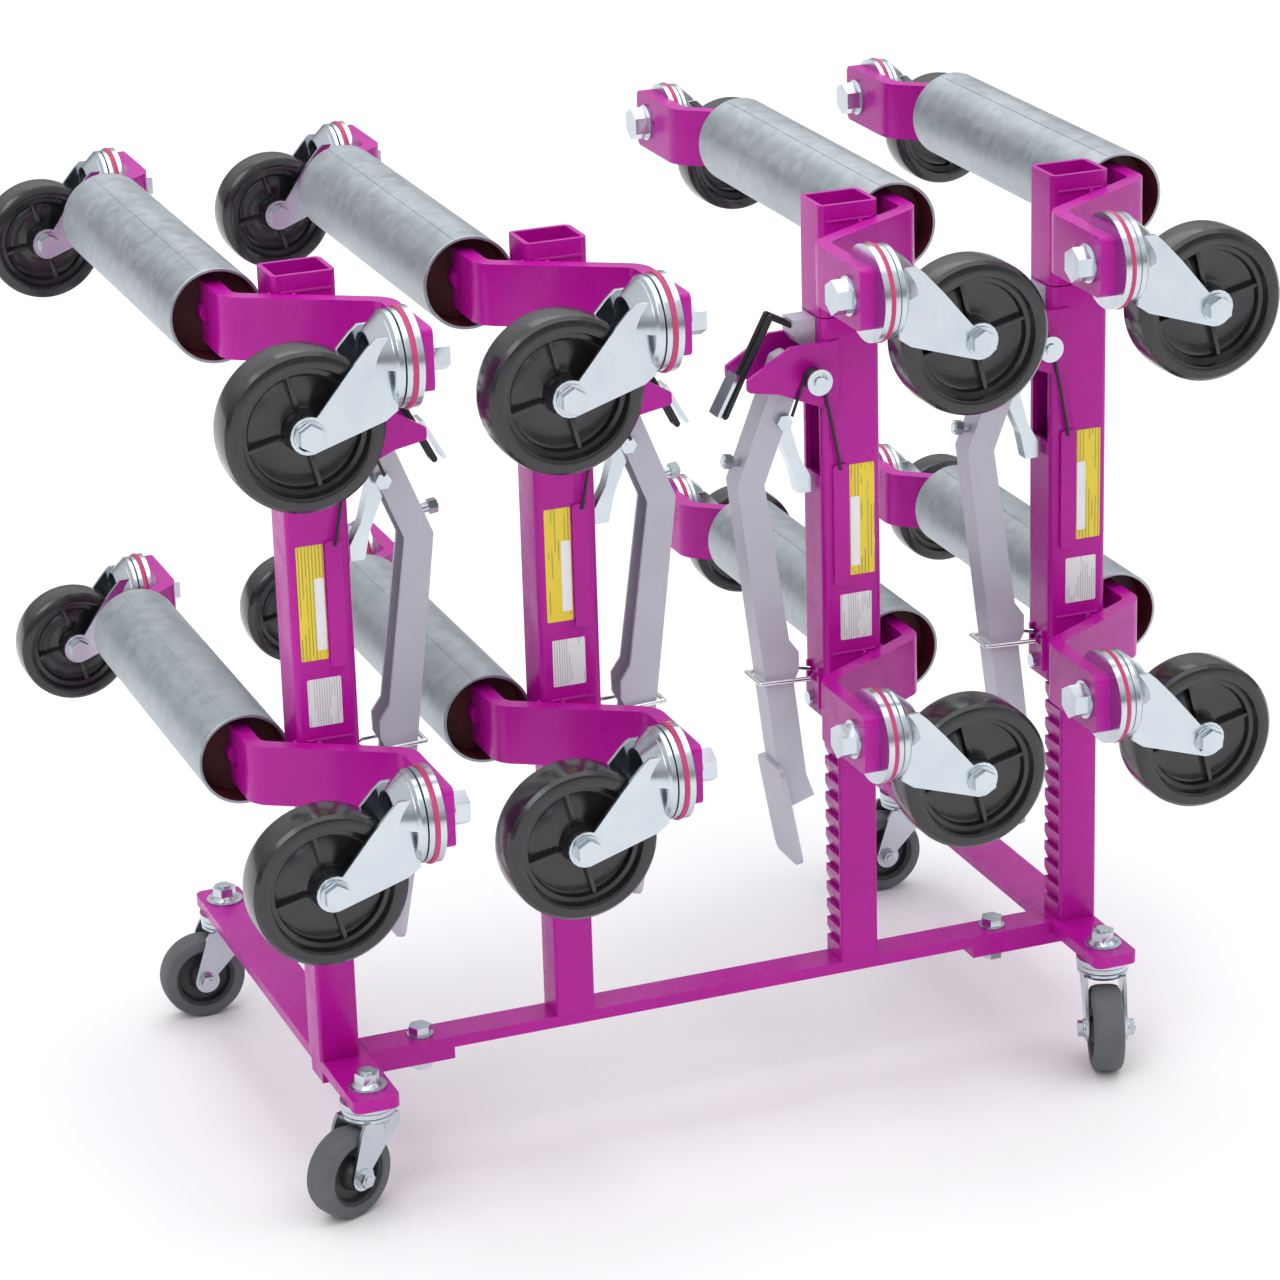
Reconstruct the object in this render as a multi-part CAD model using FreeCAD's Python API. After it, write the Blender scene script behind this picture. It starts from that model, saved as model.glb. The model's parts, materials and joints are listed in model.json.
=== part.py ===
import FreeCAD, Part
import math
import os

# Wheeled storage rack with four ratchet wheel dollies. All lengths in millimetres.
#
# Working frame: X along the rack, Y from the front to the back, Z up, with z = 0 on the
# rack's top faces and y = 0 in the plane of the four columns. A dolly is drawn once in its own
# frame, where u (= X) points to its pedal; dollies 3 and 4 are mirror copies. Everything is
# moved at the end so that the origin is the bottom centre of the overall box.

Vec = FreeCAD.Vector

# ---- dollies: where they stand
JACK_X = {1: -332.0, 2: -125.0, 3: 125.0, 4: 332.0}

# ---- square columns
TUBE_X = 52.0
TUBE_Y = 44.0
TUBE_WALL = 4.0
TUBE_CORNER = 6.0
UPPER_TUBE_Z = (575.0, 668.0)
LOWER_TUBE_Z = (227.0, 574.0)
WINDOW_Y = (-15.0, 13.0)
WINDOW_Z = (439.0, 502.0)

# ---- toothed bar, welded into the upper tube and sliding in the lower one
BAR = 34.0
BAR_U_LOW = -21.7
BAR_WALL = 3.5
BAR_TOOTH_WALL = 8.0
BAR_TOP = 580.0
TOOTH_PITCH = 16.5
TOOTH_DEPTH = 4.6
TOOTH_RAMP = 13.0
TOOTH_FIRST_Z = 14.0
TOOTH_COUNT = 33

# ---- arms: flat bar on edge
ARM_THICK = 13.0
ARM_HEIGHT = 50.0
ARM_BEND_RADIUS = 18.0
ARM_Z = {"upper": 630.0, "lower": 260.0}
NEAR_PLATE_U = 48.5
NEAR_PLATE_END_Y = -166.0
NEAR_BEND_Y = -75.0
NEAR_TURN_Y = -9.0
NEAR_TIP_Y = 45.0
FAR_PLATE_U = -17.1
FAR_PLATE_END_Y = 476.0
FAR_BEND_Y = 392.0
FAR_TURN_Y = 358.0
FAR_TIP_Y = 330.0

# ---- rollers on their axle rods
ROLLER_U = -58.6
ROLLER_RADIUS = 38.1
ROLLER_WALL = 3.0
ROLLER_Y = (22.6, 352.6)
AXLE_RADIUS = 10.0
AXLE_CLEARANCE = 0.08
DISC_THICK = 8.0

# ---- swivel casters: height from mounting face to axle, wheel, trail, swivel cups
NEAR_CASTER = dict(height=88.0, wheel=63.5, width=38.0, trail=44.0, cup=39.0, cup_thick=14.0,
                   crown=5.0, leg=3.5, tread=14.0, hub=17.0, bolt=6.0, hood=70.0, foot=15.0)
FAR_CASTER = dict(height=69.0, wheel=50.0, width=32.0, trail=38.0, cup=33.0, cup_thick=12.0,
                  crown=4.0, leg=3.0, tread=11.0, hub=15.0, bolt=5.0, hood=70.0, foot=13.0)
RACK_CASTER = dict(height=57.5, wheel=37.5, width=26.0, trail=25.0, cup=23.0, cup_thick=10.0,
                   crown=3.5, leg=3.0, tread=11.0, hub=13.0, bolt=4.0, hood=50.0, foot=11.0)
NEAR_KING_Y = -146.0
FAR_KING_Y = 452.0
KING_BOLT_RADIUS = 6.0
KING_HEAD_FLATS = 25.0
KING_HEAD = 13.0
LEG_GAP = 2.0

# ---- pedal mechanism, (u, z) in the side view
PIVOT = (36.0, 528.0)
PIVOT_RADIUS = 5.0
CHEEK_Y = (21.0, 25.0)
LEVER_HALF_WIDTH = 12.5
LEVER_WALL = 3.0
FOOT_HALF_WIDTH = 25.0

# ---- rack
RACK_BAR = 10.0
CROSS_WIDTH = 40.0
CROSS_Y = (-102.0, 365.0)
CROSS_CORNER = 8.0
RAIL_WIDTH = 30.0
RAIL_GAP = 0.3
TAB_REACH = 75.0
TAB_BOLT_REACH = 50.0
PEG_X = 20.0
PEG_Y = 24.0
PEG_HEIGHT = 80.0
STEM_INSET = 28.0


# ================================================================ basic shapes

def box(x0, x1, y0, y1, z0, z1):
    return Part.makeBox(x1 - x0, y1 - y0, z1 - z0, Vec(x0, y0, z0))


def rod(radius, start, end):
    start = Vec(*start)
    run = Vec(*end) - start
    return Part.makeCylinder(radius, run.Length, start, run)


def ring(outer, inner, start, end):
    start = Vec(*start)
    run = Vec(*end) - start
    hole_start = start - run * 0.5
    hole_end = start + run * 1.5
    return rod(outer, start, start + run).cut(rod(inner, hole_start, hole_end))


def hexagon(flats, start, end):
    """Six-sided prism between two points, measured across its flats."""
    start = Vec(*start)
    run = Vec(*end) - start
    side = run.cross(Vec(0, 0, 1))
    if side.Length < 1e-6:
        side = Vec(1, 0, 0)
    side.normalize()
    up = run.cross(side)
    up.normalize()
    reach = flats / math.sqrt(3.0)
    corners = []
    for k in range(7):
        angle = math.radians(60.0 * k)
        corners.append(start + side * (reach * math.cos(angle)) + up * (reach * math.sin(angle)))
    face = Part.Face(Part.makePolygon(corners))
    return face.extrude(run)


def plate_xz(points, y0, y1):
    """Plate with a given side view (x, z), between two y values."""
    corners = [Vec(x, y0, z) for x, z in points]
    corners.append(corners[0])
    return Part.Face(Part.makePolygon(corners)).extrude(Vec(0, y1 - y0, 0))


def plate_xy(points, z0, z1):
    """Plate with a given plan (x, y), between two z values."""
    corners = [Vec(x, y, z0) for x, y in points]
    corners.append(corners[0])
    return Part.Face(Part.makePolygon(corners)).extrude(Vec(0, 0, z1 - z0))


def round_edges(solid, axis, radius, keep=lambda centre: True):
    """Round the straight edges that run along `axis` and whose middle passes `keep`."""
    chosen = []
    for edge in solid.Edges:
        if edge.Curve.TypeId != "Part::GeomLine":
            continue
        run = edge.Vertexes[-1].Point - edge.Vertexes[0].Point
        if run.cross(axis).Length < 1e-4 and keep(edge.CenterOfMass):
            chosen.append(edge)
    return solid.makeFillet(radius, chosen)


def square_tube(x_half, y_half, wall, corner, z0, z1):
    outer = round_edges(box(-x_half, x_half, -y_half, y_half, z0, z1), Vec(0, 0, 1), corner)
    hole = box(wall - x_half, x_half - wall, wall - y_half, y_half - wall, z0 - 1, z1 + 1)
    return outer.cut(round_edges(hole, Vec(0, 0, 1), corner - wall))


def bent_bar(path, bend_radius, thickness, z0, z1):
    """Flat bar on edge that follows `path` (x, y points) with a round bend at each inner point."""
    points = [Vec(x, y, z0) for x, y in path]
    up = Vec(0, 0, 1)
    half = thickness / 2.0
    first = (points[1] - points[0]).normalize()
    last = (points[-1] - points[-2]).normalize()
    edges = []
    caps = []
    for side in (1, -1):
        here = points[0] + up.cross(first) * (side * half)
        caps.append(here)
        for before, corner, after in zip(points, points[1:], points[2:]):
            d_in = (corner - before).normalize()
            d_out = (after - corner).normalize()
            turn = math.atan2(d_in.cross(d_out).z, d_in.dot(d_out))
            bend = 1 if turn > 0 else -1
            reach = bend_radius * math.tan(abs(turn) / 2.0)
            centre = corner - d_in * reach + up.cross(d_in) * (bend * bend_radius)
            middle = (corner - centre).normalize()
            radius = bend_radius - side * bend * half
            entry = centre - up.cross(d_in) * (bend * radius)
            leave = centre - up.cross(d_out) * (bend * radius)
            edges.append(Part.makeLine(here, entry))
            edges.append(Part.Arc(entry, centre + middle * radius, leave).toShape())
            here = leave
        end = points[-1] + up.cross(last) * (side * half)
        edges.append(Part.makeLine(here, end))
        caps.append(end)
    edges.append(Part.makeLine(caps[0], caps[2]))
    edges.append(Part.makeLine(caps[1], caps[3]))
    outline = Part.Wire(Part.__sortEdges__(edges))
    return Part.Face(outline).extrude(Vec(0, 0, z1 - z0))


def wire_run(points, radius):
    """Round wire through points, with ball corners."""
    runs = [rod(radius, start, end) for start, end in zip(points, points[1:])]
    balls = [Part.makeSphere(radius, Vec(*corner)) for corner in points[1:-1]]
    return runs[0].fuse(runs[1:] + balls)


# ================================================================ casters
# Drawn upright: swivel axis on Z, mounting face at z = 0, trail towards +X, axle along Y.

def caster_wheel(c):
    half = c["width"] / 2.0
    tread_inner = c["wheel"] - c["tread"]
    tyre = ring(c["wheel"], tread_inner, (0, -half, 0), (0, half, 0))
    rims = [edge for edge in tyre.Edges
            if edge.Curve.TypeId == "Part::GeomCircle" and abs(edge.Curve.Radius - c["wheel"]) < 0.01]
    tyre = tyre.makeFillet(c["width"] * 0.16, rims)
    web = ring(tread_inner + 1, c["hub"] - 1, (0, -half * 0.3, 0), (0, half * 0.3, 0))
    hub = ring(c["hub"], c["bolt"] + 0.08, (0, -half - 1.2, 0), (0, half + 1.2, 0))
    step = ring(tread_inner + 1, tread_inner - 5, (0, -half * 0.62, 0), (0, half * 0.62, 0))
    wheel = tyre.fuse([web, hub, step])
    for k in range(4):
        rib = box(c["hub"] - 2, tread_inner + 1, -half * 0.62, half * 0.62, -1.8, 1.8)
        rib.rotate(Vec(0, 0, 0), Vec(0, 1, 0), 45 + 90 * k)
        wheel = wheel.fuse(rib)
    wheel = wheel.removeSplitter()
    wheel.translate(Vec(c["trail"], 0, -c["height"]))
    return wheel


def caster_fork(c):
    inner = c["width"] / 2.0 + LEG_GAP
    outer = inner + c["leg"]
    top = -c["cup_thick"]
    under = top - c["crown"]
    hood_out = c["height"] + top
    hood_in = hood_out - c["crown"]
    axle = Vec(c["trail"], 0, -c["height"])
    cup = rod(c["cup"] * 0.97, (0, 0, top), (0, 0, top / 2.0 - 0.15))
    back = -c["cup"] * 0.72
    crown = box(back, c["trail"], -outer, outer, under, top)
    sweep = 90.0 - c["hood"]
    shell = Part.makeCylinder(hood_out, 2 * outer, axle - Vec(0, outer, 0), Vec(0, 1, 0))
    shell = shell.cut(Part.makeCylinder(hood_in, 2 * outer, axle - Vec(0, outer, 0), Vec(0, 1, 0)))
    wedge_x = c["trail"] + 2 * hood_out * math.tan(math.radians(sweep))
    wedge = plate_xz([(c["trail"], -c["height"]), (c["trail"], -c["height"] + 2 * hood_out),
                      (wedge_x, -c["height"] + 2 * hood_out)], -outer, outer)
    fork = crown.fuse([shell.common(wedge), cup])
    tip_x = c["trail"] + hood_out * math.sin(math.radians(sweep))
    tip_z = -c["height"] + hood_out * math.cos(math.radians(sweep))
    foot = c["foot"]
    outline = [(back, top), (c["trail"], top), (tip_x, tip_z), (c["trail"] + foot, -c["height"] + 4),
               (c["trail"] + foot * 0.8, -c["height"] - foot * 0.6),
               (c["trail"] - foot * 0.98, -c["height"] - foot * 0.2), (back, under - 3)]
    for side in (-1, 1):
        y0 = min(side * inner, side * outer)
        y1 = max(side * inner, side * outer)
        leg = plate_xz(outline, y0, y1)
        boss = rod(foot, (axle.x, y0, axle.z), (axle.x, y1, axle.z))
        fork = fork.fuse([leg, boss])
    fork = fork.cut(rod(KING_BOLT_RADIUS + 0.08, (0, 0, under - 5), (0, 0, 1)))
    fork = fork.cut(rod(c["bolt"] + 0.05, (axle.x, -outer - 5, axle.z), (axle.x, outer + 5, axle.z)))
    return fork.removeSplitter()


def caster_axle_bolt(c):
    """Hex bolt with washers and nut through fork legs and wheel."""
    outer = c["width"] / 2.0 + LEG_GAP + c["leg"] + 0.05
    x = c["trail"]
    z = -c["height"]
    flats = c["bolt"] * 3.1
    head = c["bolt"] * 1.15
    bolt = rod(c["bolt"], (x, -outer - 2, z), (x, outer + head + 3, z))
    bolt = bolt.fuse(rod(flats * 0.66, (x, -outer - 1.6, z), (x, -outer, z)))
    bolt = bolt.fuse(hexagon(flats, (x, -outer - 1.6 - head, z), (x, -outer - 1.6, z)))
    nut = ring(flats * 0.66, c["bolt"], (x, outer, z), (x, outer + 1.6, z))
    nut = nut.fuse(hexagon(flats, (x, outer + 1.6, z), (x, outer + 1.6 + head, z)))
    return bolt.fuse(nut).removeSplitter()


def caster_fixed_cup(c):
    """Upper half of the swivel race; it stays with the plate or bar it is clamped to."""
    return ring(c["cup"], KING_BOLT_RADIUS + 0.05, (0, 0, -c["cup_thick"] / 2.0 + 0.15), (0, 0, -0.05))


def king_bolt(c, plate):
    """Hex bolt through the plate and both cups, with a lock nut inside the fork."""
    inside = -c["cup_thick"] - c["crown"] - 0.3
    bolt = rod(KING_BOLT_RADIUS, (0, 0, inside - 7), (0, 0, plate + 3))
    bolt = bolt.fuse(rod(16.0, (0, 0, plate + 0.05), (0, 0, plate + 2.5)))
    bolt = bolt.fuse(hexagon(KING_HEAD_FLATS, (0, 0, plate + 2.5), (0, 0, plate + 2.5 + KING_HEAD)))
    return bolt.fuse(hexagon(19.0, (0, 0, inside - 6), (0, 0, inside))).removeSplitter()


def hang_sideways(shape, u, y, z):
    """Turn an upright caster shape so its mounting face looks along -u and its trail hangs down."""
    placed = shape.copy()
    placed.rotate(Vec(0, 0, 0), Vec(0, 1, 0), 90)
    placed.translate(Vec(u, y, z))
    return placed


# ================================================================ one dolly

def arms(level, column):
    """Near arm with its weld, far arm and roller axle rod of one level, as separate solids."""
    z0 = ARM_Z[level] - ARM_HEIGHT / 2.0
    z1 = ARM_Z[level] + ARM_HEIGHT / 2.0
    near_path = [(ROLLER_U, NEAR_TIP_Y), (ROLLER_U, NEAR_TURN_Y), (NEAR_PLATE_U, NEAR_BEND_Y),
                 (NEAR_PLATE_U, NEAR_PLATE_END_Y)]
    far_path = [(ROLLER_U, FAR_TIP_Y), (ROLLER_U, FAR_TURN_Y), (FAR_PLATE_U, FAR_BEND_Y),
                (FAR_PLATE_U, FAR_PLATE_END_Y)]
    near = bent_bar(near_path, ARM_BEND_RADIUS, ARM_THICK, z0, z1)
    near = round_edges(near, Vec(1, 0, 0), 6.0, lambda c: abs(c.y - NEAR_PLATE_END_Y) < 0.01)
    far = bent_bar(far_path, ARM_BEND_RADIUS, ARM_THICK, z0, z1)
    far = round_edges(far, Vec(1, 0, 0), 6.0, lambda c: abs(c.y - FAR_PLATE_END_Y) < 0.01)
    axle = rod(AXLE_RADIUS, (ROLLER_U, NEAR_TIP_Y - 10, ARM_Z[level]),
               (ROLLER_U, FAR_TIP_Y + 10, ARM_Z[level]))
    weld = plate_xy([(-25, -12), (-31, -24), (-16, -34), (-8, -20.5), (-22.7, -19.5)], z0 + 2, z1 - 2)
    near = near.fuse(weld).cut(column)
    seat = rod(AXLE_RADIUS + 0.05, (ROLLER_U, NEAR_TIP_Y - 20, ARM_Z[level]),
               (ROLLER_U, FAR_TIP_Y + 20, ARM_Z[level]))
    bars = []
    for bar, king_y, u in ((near, NEAR_KING_Y, NEAR_PLATE_U), (far, FAR_KING_Y, FAR_PLATE_U)):
        bore = rod(KING_BOLT_RADIUS + 0.05, (u - 20, king_y, ARM_Z[level]), (u + 20, king_y, ARM_Z[level]))
        bars.append(bar.cut(bore).cut(seat).removeSplitter())
    return bars + [axle]


def arm_hardware(level):
    """Swivel cups and king bolts that stay with the arms."""
    solids = []
    for c, king_y, plate_u in ((NEAR_CASTER, NEAR_KING_Y, NEAR_PLATE_U),
                               (FAR_CASTER, FAR_KING_Y, FAR_PLATE_U)):
        face_u = plate_u - ARM_THICK / 2.0
        for shape in (caster_fixed_cup(c), king_bolt(c, ARM_THICK)):
            solids.append(hang_sideways(shape, face_u, king_y, ARM_Z[level]))
    return solids


def toothed_bar():
    """Hollow bar with ratchet notches on the pedal side: a flat shelf below, a ramp above."""
    u0 = BAR_U_LOW
    u1 = BAR_U_LOW + BAR
    half = BAR / 2.0
    bar = round_edges(box(u0, u1, -half, half, 0, BAR_TOP), Vec(0, 0, 1), 3.0)
    bar = bar.cut(box(u0 + BAR_WALL, u1 - BAR_TOOTH_WALL, BAR_WALL - half, half - BAR_WALL,
                      -1, BAR_TOP - 8))
    notches = []
    for k in range(TOOTH_COUNT):
        z = TOOTH_FIRST_Z + TOOTH_PITCH * k
        notches.append(plate_xz([(u1 - TOOTH_DEPTH, z), (u1 + 1, z), (u1 + 1, z + TOOTH_RAMP)],
                                4 - half, half + 1))
    return bar.cut(Part.makeCompound(notches))


def upper_frame():
    tube = square_tube(TUBE_X / 2.0, TUBE_Y / 2.0, TUBE_WALL, TUBE_CORNER, *UPPER_TUBE_Z)
    floor_plate = box(-TUBE_X / 2.0 + 2, TUBE_X / 2.0 - 2, -TUBE_Y / 2.0 + 2, TUBE_Y / 2.0 - 2,
                      UPPER_TUBE_Z[0] + 1, BAR_TOP + 4)
    column = tube.fuse([floor_plate, toothed_bar()]).removeSplitter()
    return [column, *arms("upper", column), *arm_hardware("upper")]


def cheek(side):
    """Side bracket that holds the pivot bolt, welded along the tube's corner."""
    outline = [(12, 501), (27, 501), (44, 508), (64.5, 517), (92, 522), (92, 532), (54, 555), (12, 556)]
    y0, y1 = CHEEK_Y if side > 0 else (-CHEEK_Y[1], -CHEEK_Y[0])
    plate = round_edges(plate_xz(outline, y0, y1), Vec(0, 1, 0), 3.0, lambda c: c.x > 30)
    bore = rod(PIVOT_RADIUS + 0.05, (PIVOT[0], y0 - 5, PIVOT[1]), (PIVOT[0], y1 + 5, PIVOT[1]))
    return plate.cut(bore)


def pivot_bolt():
    u, z = PIVOT
    out = CHEEK_Y[1] + 0.05
    bolt = rod(PIVOT_RADIUS, (u, -out - 19, z), (u, out + 8, z))
    bolt = bolt.fuse(rod(11.0, (u, -out - 17, z), (u, -out - 15, z)))
    bolt = bolt.fuse(rod(9.0, (u, out, z), (u, out + 1.6, z)))
    return bolt.fuse(hexagon(16.0, (u, out + 1.6, z), (u, out + 8, z))).removeSplitter()


def torsion_spring():
    """Closed coils around the pivot bolt, one leg down to the lever, one down the tube front."""
    u, z = PIVOT
    start = CHEEK_Y[1] + 1.8
    coils = []
    for k in range(5):
        coils.append(Part.makeTorus(7.6, 1.35, Vec(u, -start - 2.6 * k, z), Vec(0, 1, 0)))
    spring = coils[0].fuse(coils[1:])
    leg_front = wire_run([(u - 7.6, -start, z), (u - 16, -26.2, z - 40), (12, -26.2, 446)], 1.3)
    leg_lever = wire_run([(u + 7.6, -start, z), (u + 19, -start - 0.4, z - 30)], 1.3)
    return spring.fuse([leg_front, leg_lever])


def release_loop():
    """Black double rod that trips the holding pawl, bent over the cheeks."""
    strands = []
    for y in (-5.0, 5.0):
        strands.append(wire_run([(44, y, 567), (63, y, 577), (86, y, 534), (104, y, 498)], 2.5))
    cross = rod(2.5, (104, -5, 498), (104, 5, 498))
    loop = strands[0].fuse([strands[1], cross])
    tongue = plate_xz([(92, 532), (95, 533), (113, 500), (110, 499)], -9, 9)
    return [loop, tongue]


def holding_pawl():
    block = plate_xz([(26.4, 552), (40, 552), (46, 560), (46, 573), (26.4, 573)], -11, 11)
    return block.cut(release_loop()[0])


def lower_frame():
    tube = square_tube(TUBE_X / 2.0, TUBE_Y / 2.0, TUBE_WALL, TUBE_CORNER, *LOWER_TUBE_Z)
    window = box(TUBE_X / 2.0 - TUBE_WALL - 1, TUBE_X / 2.0 + 1, *WINDOW_Y, *WINDOW_Z)
    strip = round_edges(box(4, 18, -TUBE_Y / 2.0 - 3, -TUBE_Y / 2.0 + 1, 345, 450), Vec(0, 1, 0), 3.0)
    latch_pad = box(TUBE_X / 2.0 - 1, TUBE_X / 2.0 + 3, -13, 13, 234, 270)
    latch_slot = box(TUBE_X / 2.0, TUBE_X / 2.0 + 4, -10, 10, 257, 276)
    column = tube.cut(window).fuse([strip, latch_pad, cheek(1), cheek(-1)])
    column = column.cut(latch_slot).removeSplitter()
    rivet = rod(6.0, (TUBE_X / 2.0 + 3.05, 2, 240), (TUBE_X / 2.0 + 7, 2, 240))
    return [column, *arms("lower", column), pivot_bolt(), torsion_spring(), holding_pawl(),
            *release_loop(), rivet, *arm_hardware("lower")]


def pedal():
    """Foot lever: a channel open towards the column, its foot plate, pawl, bolts and wire bail."""
    outline = [(58, 541), (98, 440), (66, 180), (58, 150), (34, 158), (41, 178), (51, 262),
               (46, 272), (46, 288), (54.5, 300), (74, 438), (47, 506), (40, 516), (38, 538), (48, 545)]
    half = LEVER_HALF_WIDTH
    lever = plate_xz(outline, -half, half)
    lever = round_edges(lever, Vec(0, 1, 0), 5.0, lambda c: c.z > 500 and c.x > 45)
    hollow = [(54, 534), (94.3, 440), (62, 176), (20, 140), (30, 300), (60, 438), (36, 500), (20, 525)]
    lever = lever.cut(plate_xz(hollow, LEVER_WALL - half, half - LEVER_WALL))
    eye = rod(9.0, (PIVOT[0], -half, PIVOT[1]), (PIVOT[0], half, PIVOT[1]))
    foot_plate = plate_xz([(70.6, 190), (66, 191), (49, 100), (53.6, 99)], -FOOT_HALF_WIDTH,
                          FOOT_HALF_WIDTH)
    foot_plate = round_edges(foot_plate, Vec(4.6, 0, -1), 9.0)
    web = plate_xz([(50, 500), (74, 500), (70, 478), (58, 478)], -half, half)
    lever = lever.fuse([eye, web])
    lever = lever.cut(rod(PIVOT_RADIUS + 0.06, (PIVOT[0], -40, PIVOT[1]), (PIVOT[0], 40, PIVOT[1])))
    lever = lever.cut(rod(3.55, (57, -40, 490), (57, 40, 490)))
    pawl = plate_xz([(50, 497), (63, 497), (63, 484), (47, 447), (42, 424), (30, 424), (30, 437),
                     (40, 455), (48, 484)], -6.5, 6.5)
    pawl = pawl.cut(rod(3.55, (57, -40, 490), (57, 40, 490))).cut(web)
    bolt = rod(3.5, (57, -half - 1, 490), (57, half + 5, 490))
    bolt = bolt.fuse(hexagon(12.0, (57, -half - 5.5, 490), (57, -half - 0.05, 490)))
    bolt = bolt.fuse(hexagon(12.0, (57, half + 0.05, 490), (57, half + 5.5, 490)))
    stop_bolt = rod(4.0, (92.6, 0, 457), (106, 0, 459))
    stop_bolt = stop_bolt.fuse(hexagon(11.0, (98, 0, 457.8), (105, 0, 458.8)))
    bail = wire_run([(27.6, -6, 264), (38, -half - 3, 264), (82, -half - 3, 266), (82, half + 3, 266),
                     (38, half + 3, 264), (27.6, 6, 264)], 2.0)
    return [lever.fuse(foot_plate).removeSplitter(), pawl, bolt, stop_bolt, bail]


def roller(level):
    z = ARM_Z[level]
    y0, y1 = ROLLER_Y
    tube = ring(ROLLER_RADIUS, ROLLER_RADIUS - ROLLER_WALL, (ROLLER_U, y0, z), (ROLLER_U, y1, z))
    discs = []
    for disc_y in (NEAR_TIP_Y + 0.4, FAR_TIP_Y - 0.4 - DISC_THICK):
        discs.append(ring(ROLLER_RADIUS - 1, AXLE_RADIUS + AXLE_CLEARANCE, (ROLLER_U, disc_y, z),
                          (ROLLER_U, disc_y + DISC_THICK, z)))
    return tube.fuse(discs).removeSplitter()


def dolly():
    """Every body of a dolly in its own frame: {name: list of solids}."""
    parts = {
        "upper_frame": upper_frame(),
        "lower_frame": lower_frame(),
        "pedal": pedal(),
        "roller_upper": [roller("upper")],
        "roller_lower": [roller("lower")],
    }
    for where, c, king_y, plate_u in (("near", NEAR_CASTER, NEAR_KING_Y, NEAR_PLATE_U),
                                      ("far", FAR_CASTER, FAR_KING_Y, FAR_PLATE_U)):
        face_u = plate_u - ARM_THICK / 2.0
        fork = caster_fork(c)
        bolt = caster_axle_bolt(c)
        wheel = caster_wheel(c)
        for level in ("upper", "lower"):
            z = ARM_Z[level]
            fork_set = [hang_sideways(s, face_u, king_y, z) for s in (fork, bolt)]
            wheel_set = [hang_sideways(wheel, face_u, king_y, z)]
            if (level, where) == ("lower", "far"):
                parts["tail_caster"] = fork_set + wheel_set
            else:
                parts["fork_" + level + "_" + where] = fork_set
                parts["wheel_" + level + "_" + where] = wheel_set
    return parts


# ================================================================ rack

def peg(x):
    """Square stub that locates a dolly's hollow bar; x is the middle of the bar's cavity."""
    stub = box(x - PEG_X / 2.0, x + PEG_X / 2.0, -PEG_Y / 2.0, PEG_Y / 2.0, -1, PEG_HEIGHT)
    return round_edges(stub, Vec(0, 0, 1), 3.0)


def peg_x(number):
    cavity_u = (BAR_U_LOW + BAR_WALL + BAR_U_LOW + BAR - BAR_TOOTH_WALL) / 2.0
    side = 1 if number < 3 else -1
    return JACK_X[number] + side * cavity_u


def end_frame(number):
    """Cross member with its peg and the tab that carries the rail end."""
    x = JACK_X[number]
    inward = 1 if x < 0 else -1
    half = CROSS_WIDTH / 2.0
    bar = box(x - half, x + half, *CROSS_Y, -RACK_BAR, 0)
    bar = round_edges(bar, Vec(0, 0, 1), CROSS_CORNER)
    tab_ends = sorted((x - inward * half, x + inward * (half + TAB_REACH)))
    tab = box(*tab_ends, -RAIL_WIDTH / 2.0, RAIL_WIDTH / 2.0, -2 * RACK_BAR, -RACK_BAR)
    frame = bar.fuse([tab, peg(peg_x(number))])
    bolt_x = x + inward * (half + TAB_BOLT_REACH)
    frame = frame.cut(rod(5.05, (bolt_x, 0, -30), (bolt_x, 0, 5)))
    for y in stem_positions():
        frame = frame.cut(rod(KING_BOLT_RADIUS + 0.05, (x, y, -30), (x, y, 5)))
    return frame.removeSplitter()


def stem_positions():
    return (CROSS_Y[0] + STEM_INSET, CROSS_Y[1] - STEM_INSET)


def centre_rail():
    reach = JACK_X[4] - CROSS_WIDTH / 2.0 - RAIL_GAP
    rail = box(-reach, reach, -RAIL_WIDTH / 2.0, RAIL_WIDTH / 2.0, -RACK_BAR + 0.05, 0)
    rail = rail.fuse([peg(peg_x(2)), peg(peg_x(3))])
    for side in (-1, 1):
        x = side * (JACK_X[4] - CROSS_WIDTH / 2.0 - TAB_BOLT_REACH)
        rail = rail.cut(rod(5.05, (x, 0, -30), (x, 0, 5)))
    below = box(-reach, reach, -RAIL_WIDTH, RAIL_WIDTH, -RACK_BAR - 5, -RACK_BAR + 0.05)
    return rail.cut(below).removeSplitter()


def rail_bolt(x):
    bolt = rod(5.0, (x, 0, -2 * RACK_BAR - 10), (x, 0, 2))
    bolt = bolt.fuse(rod(11.0, (x, 0, 0.05), (x, 0, 2)))
    bolt = bolt.fuse(hexagon(17.0, (x, 0, 2), (x, 0, 9)))
    lower = -2 * RACK_BAR - 0.05
    return bolt.fuse(hexagon(17.0, (x, 0, lower - 8), (x, 0, lower))).removeSplitter()


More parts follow.
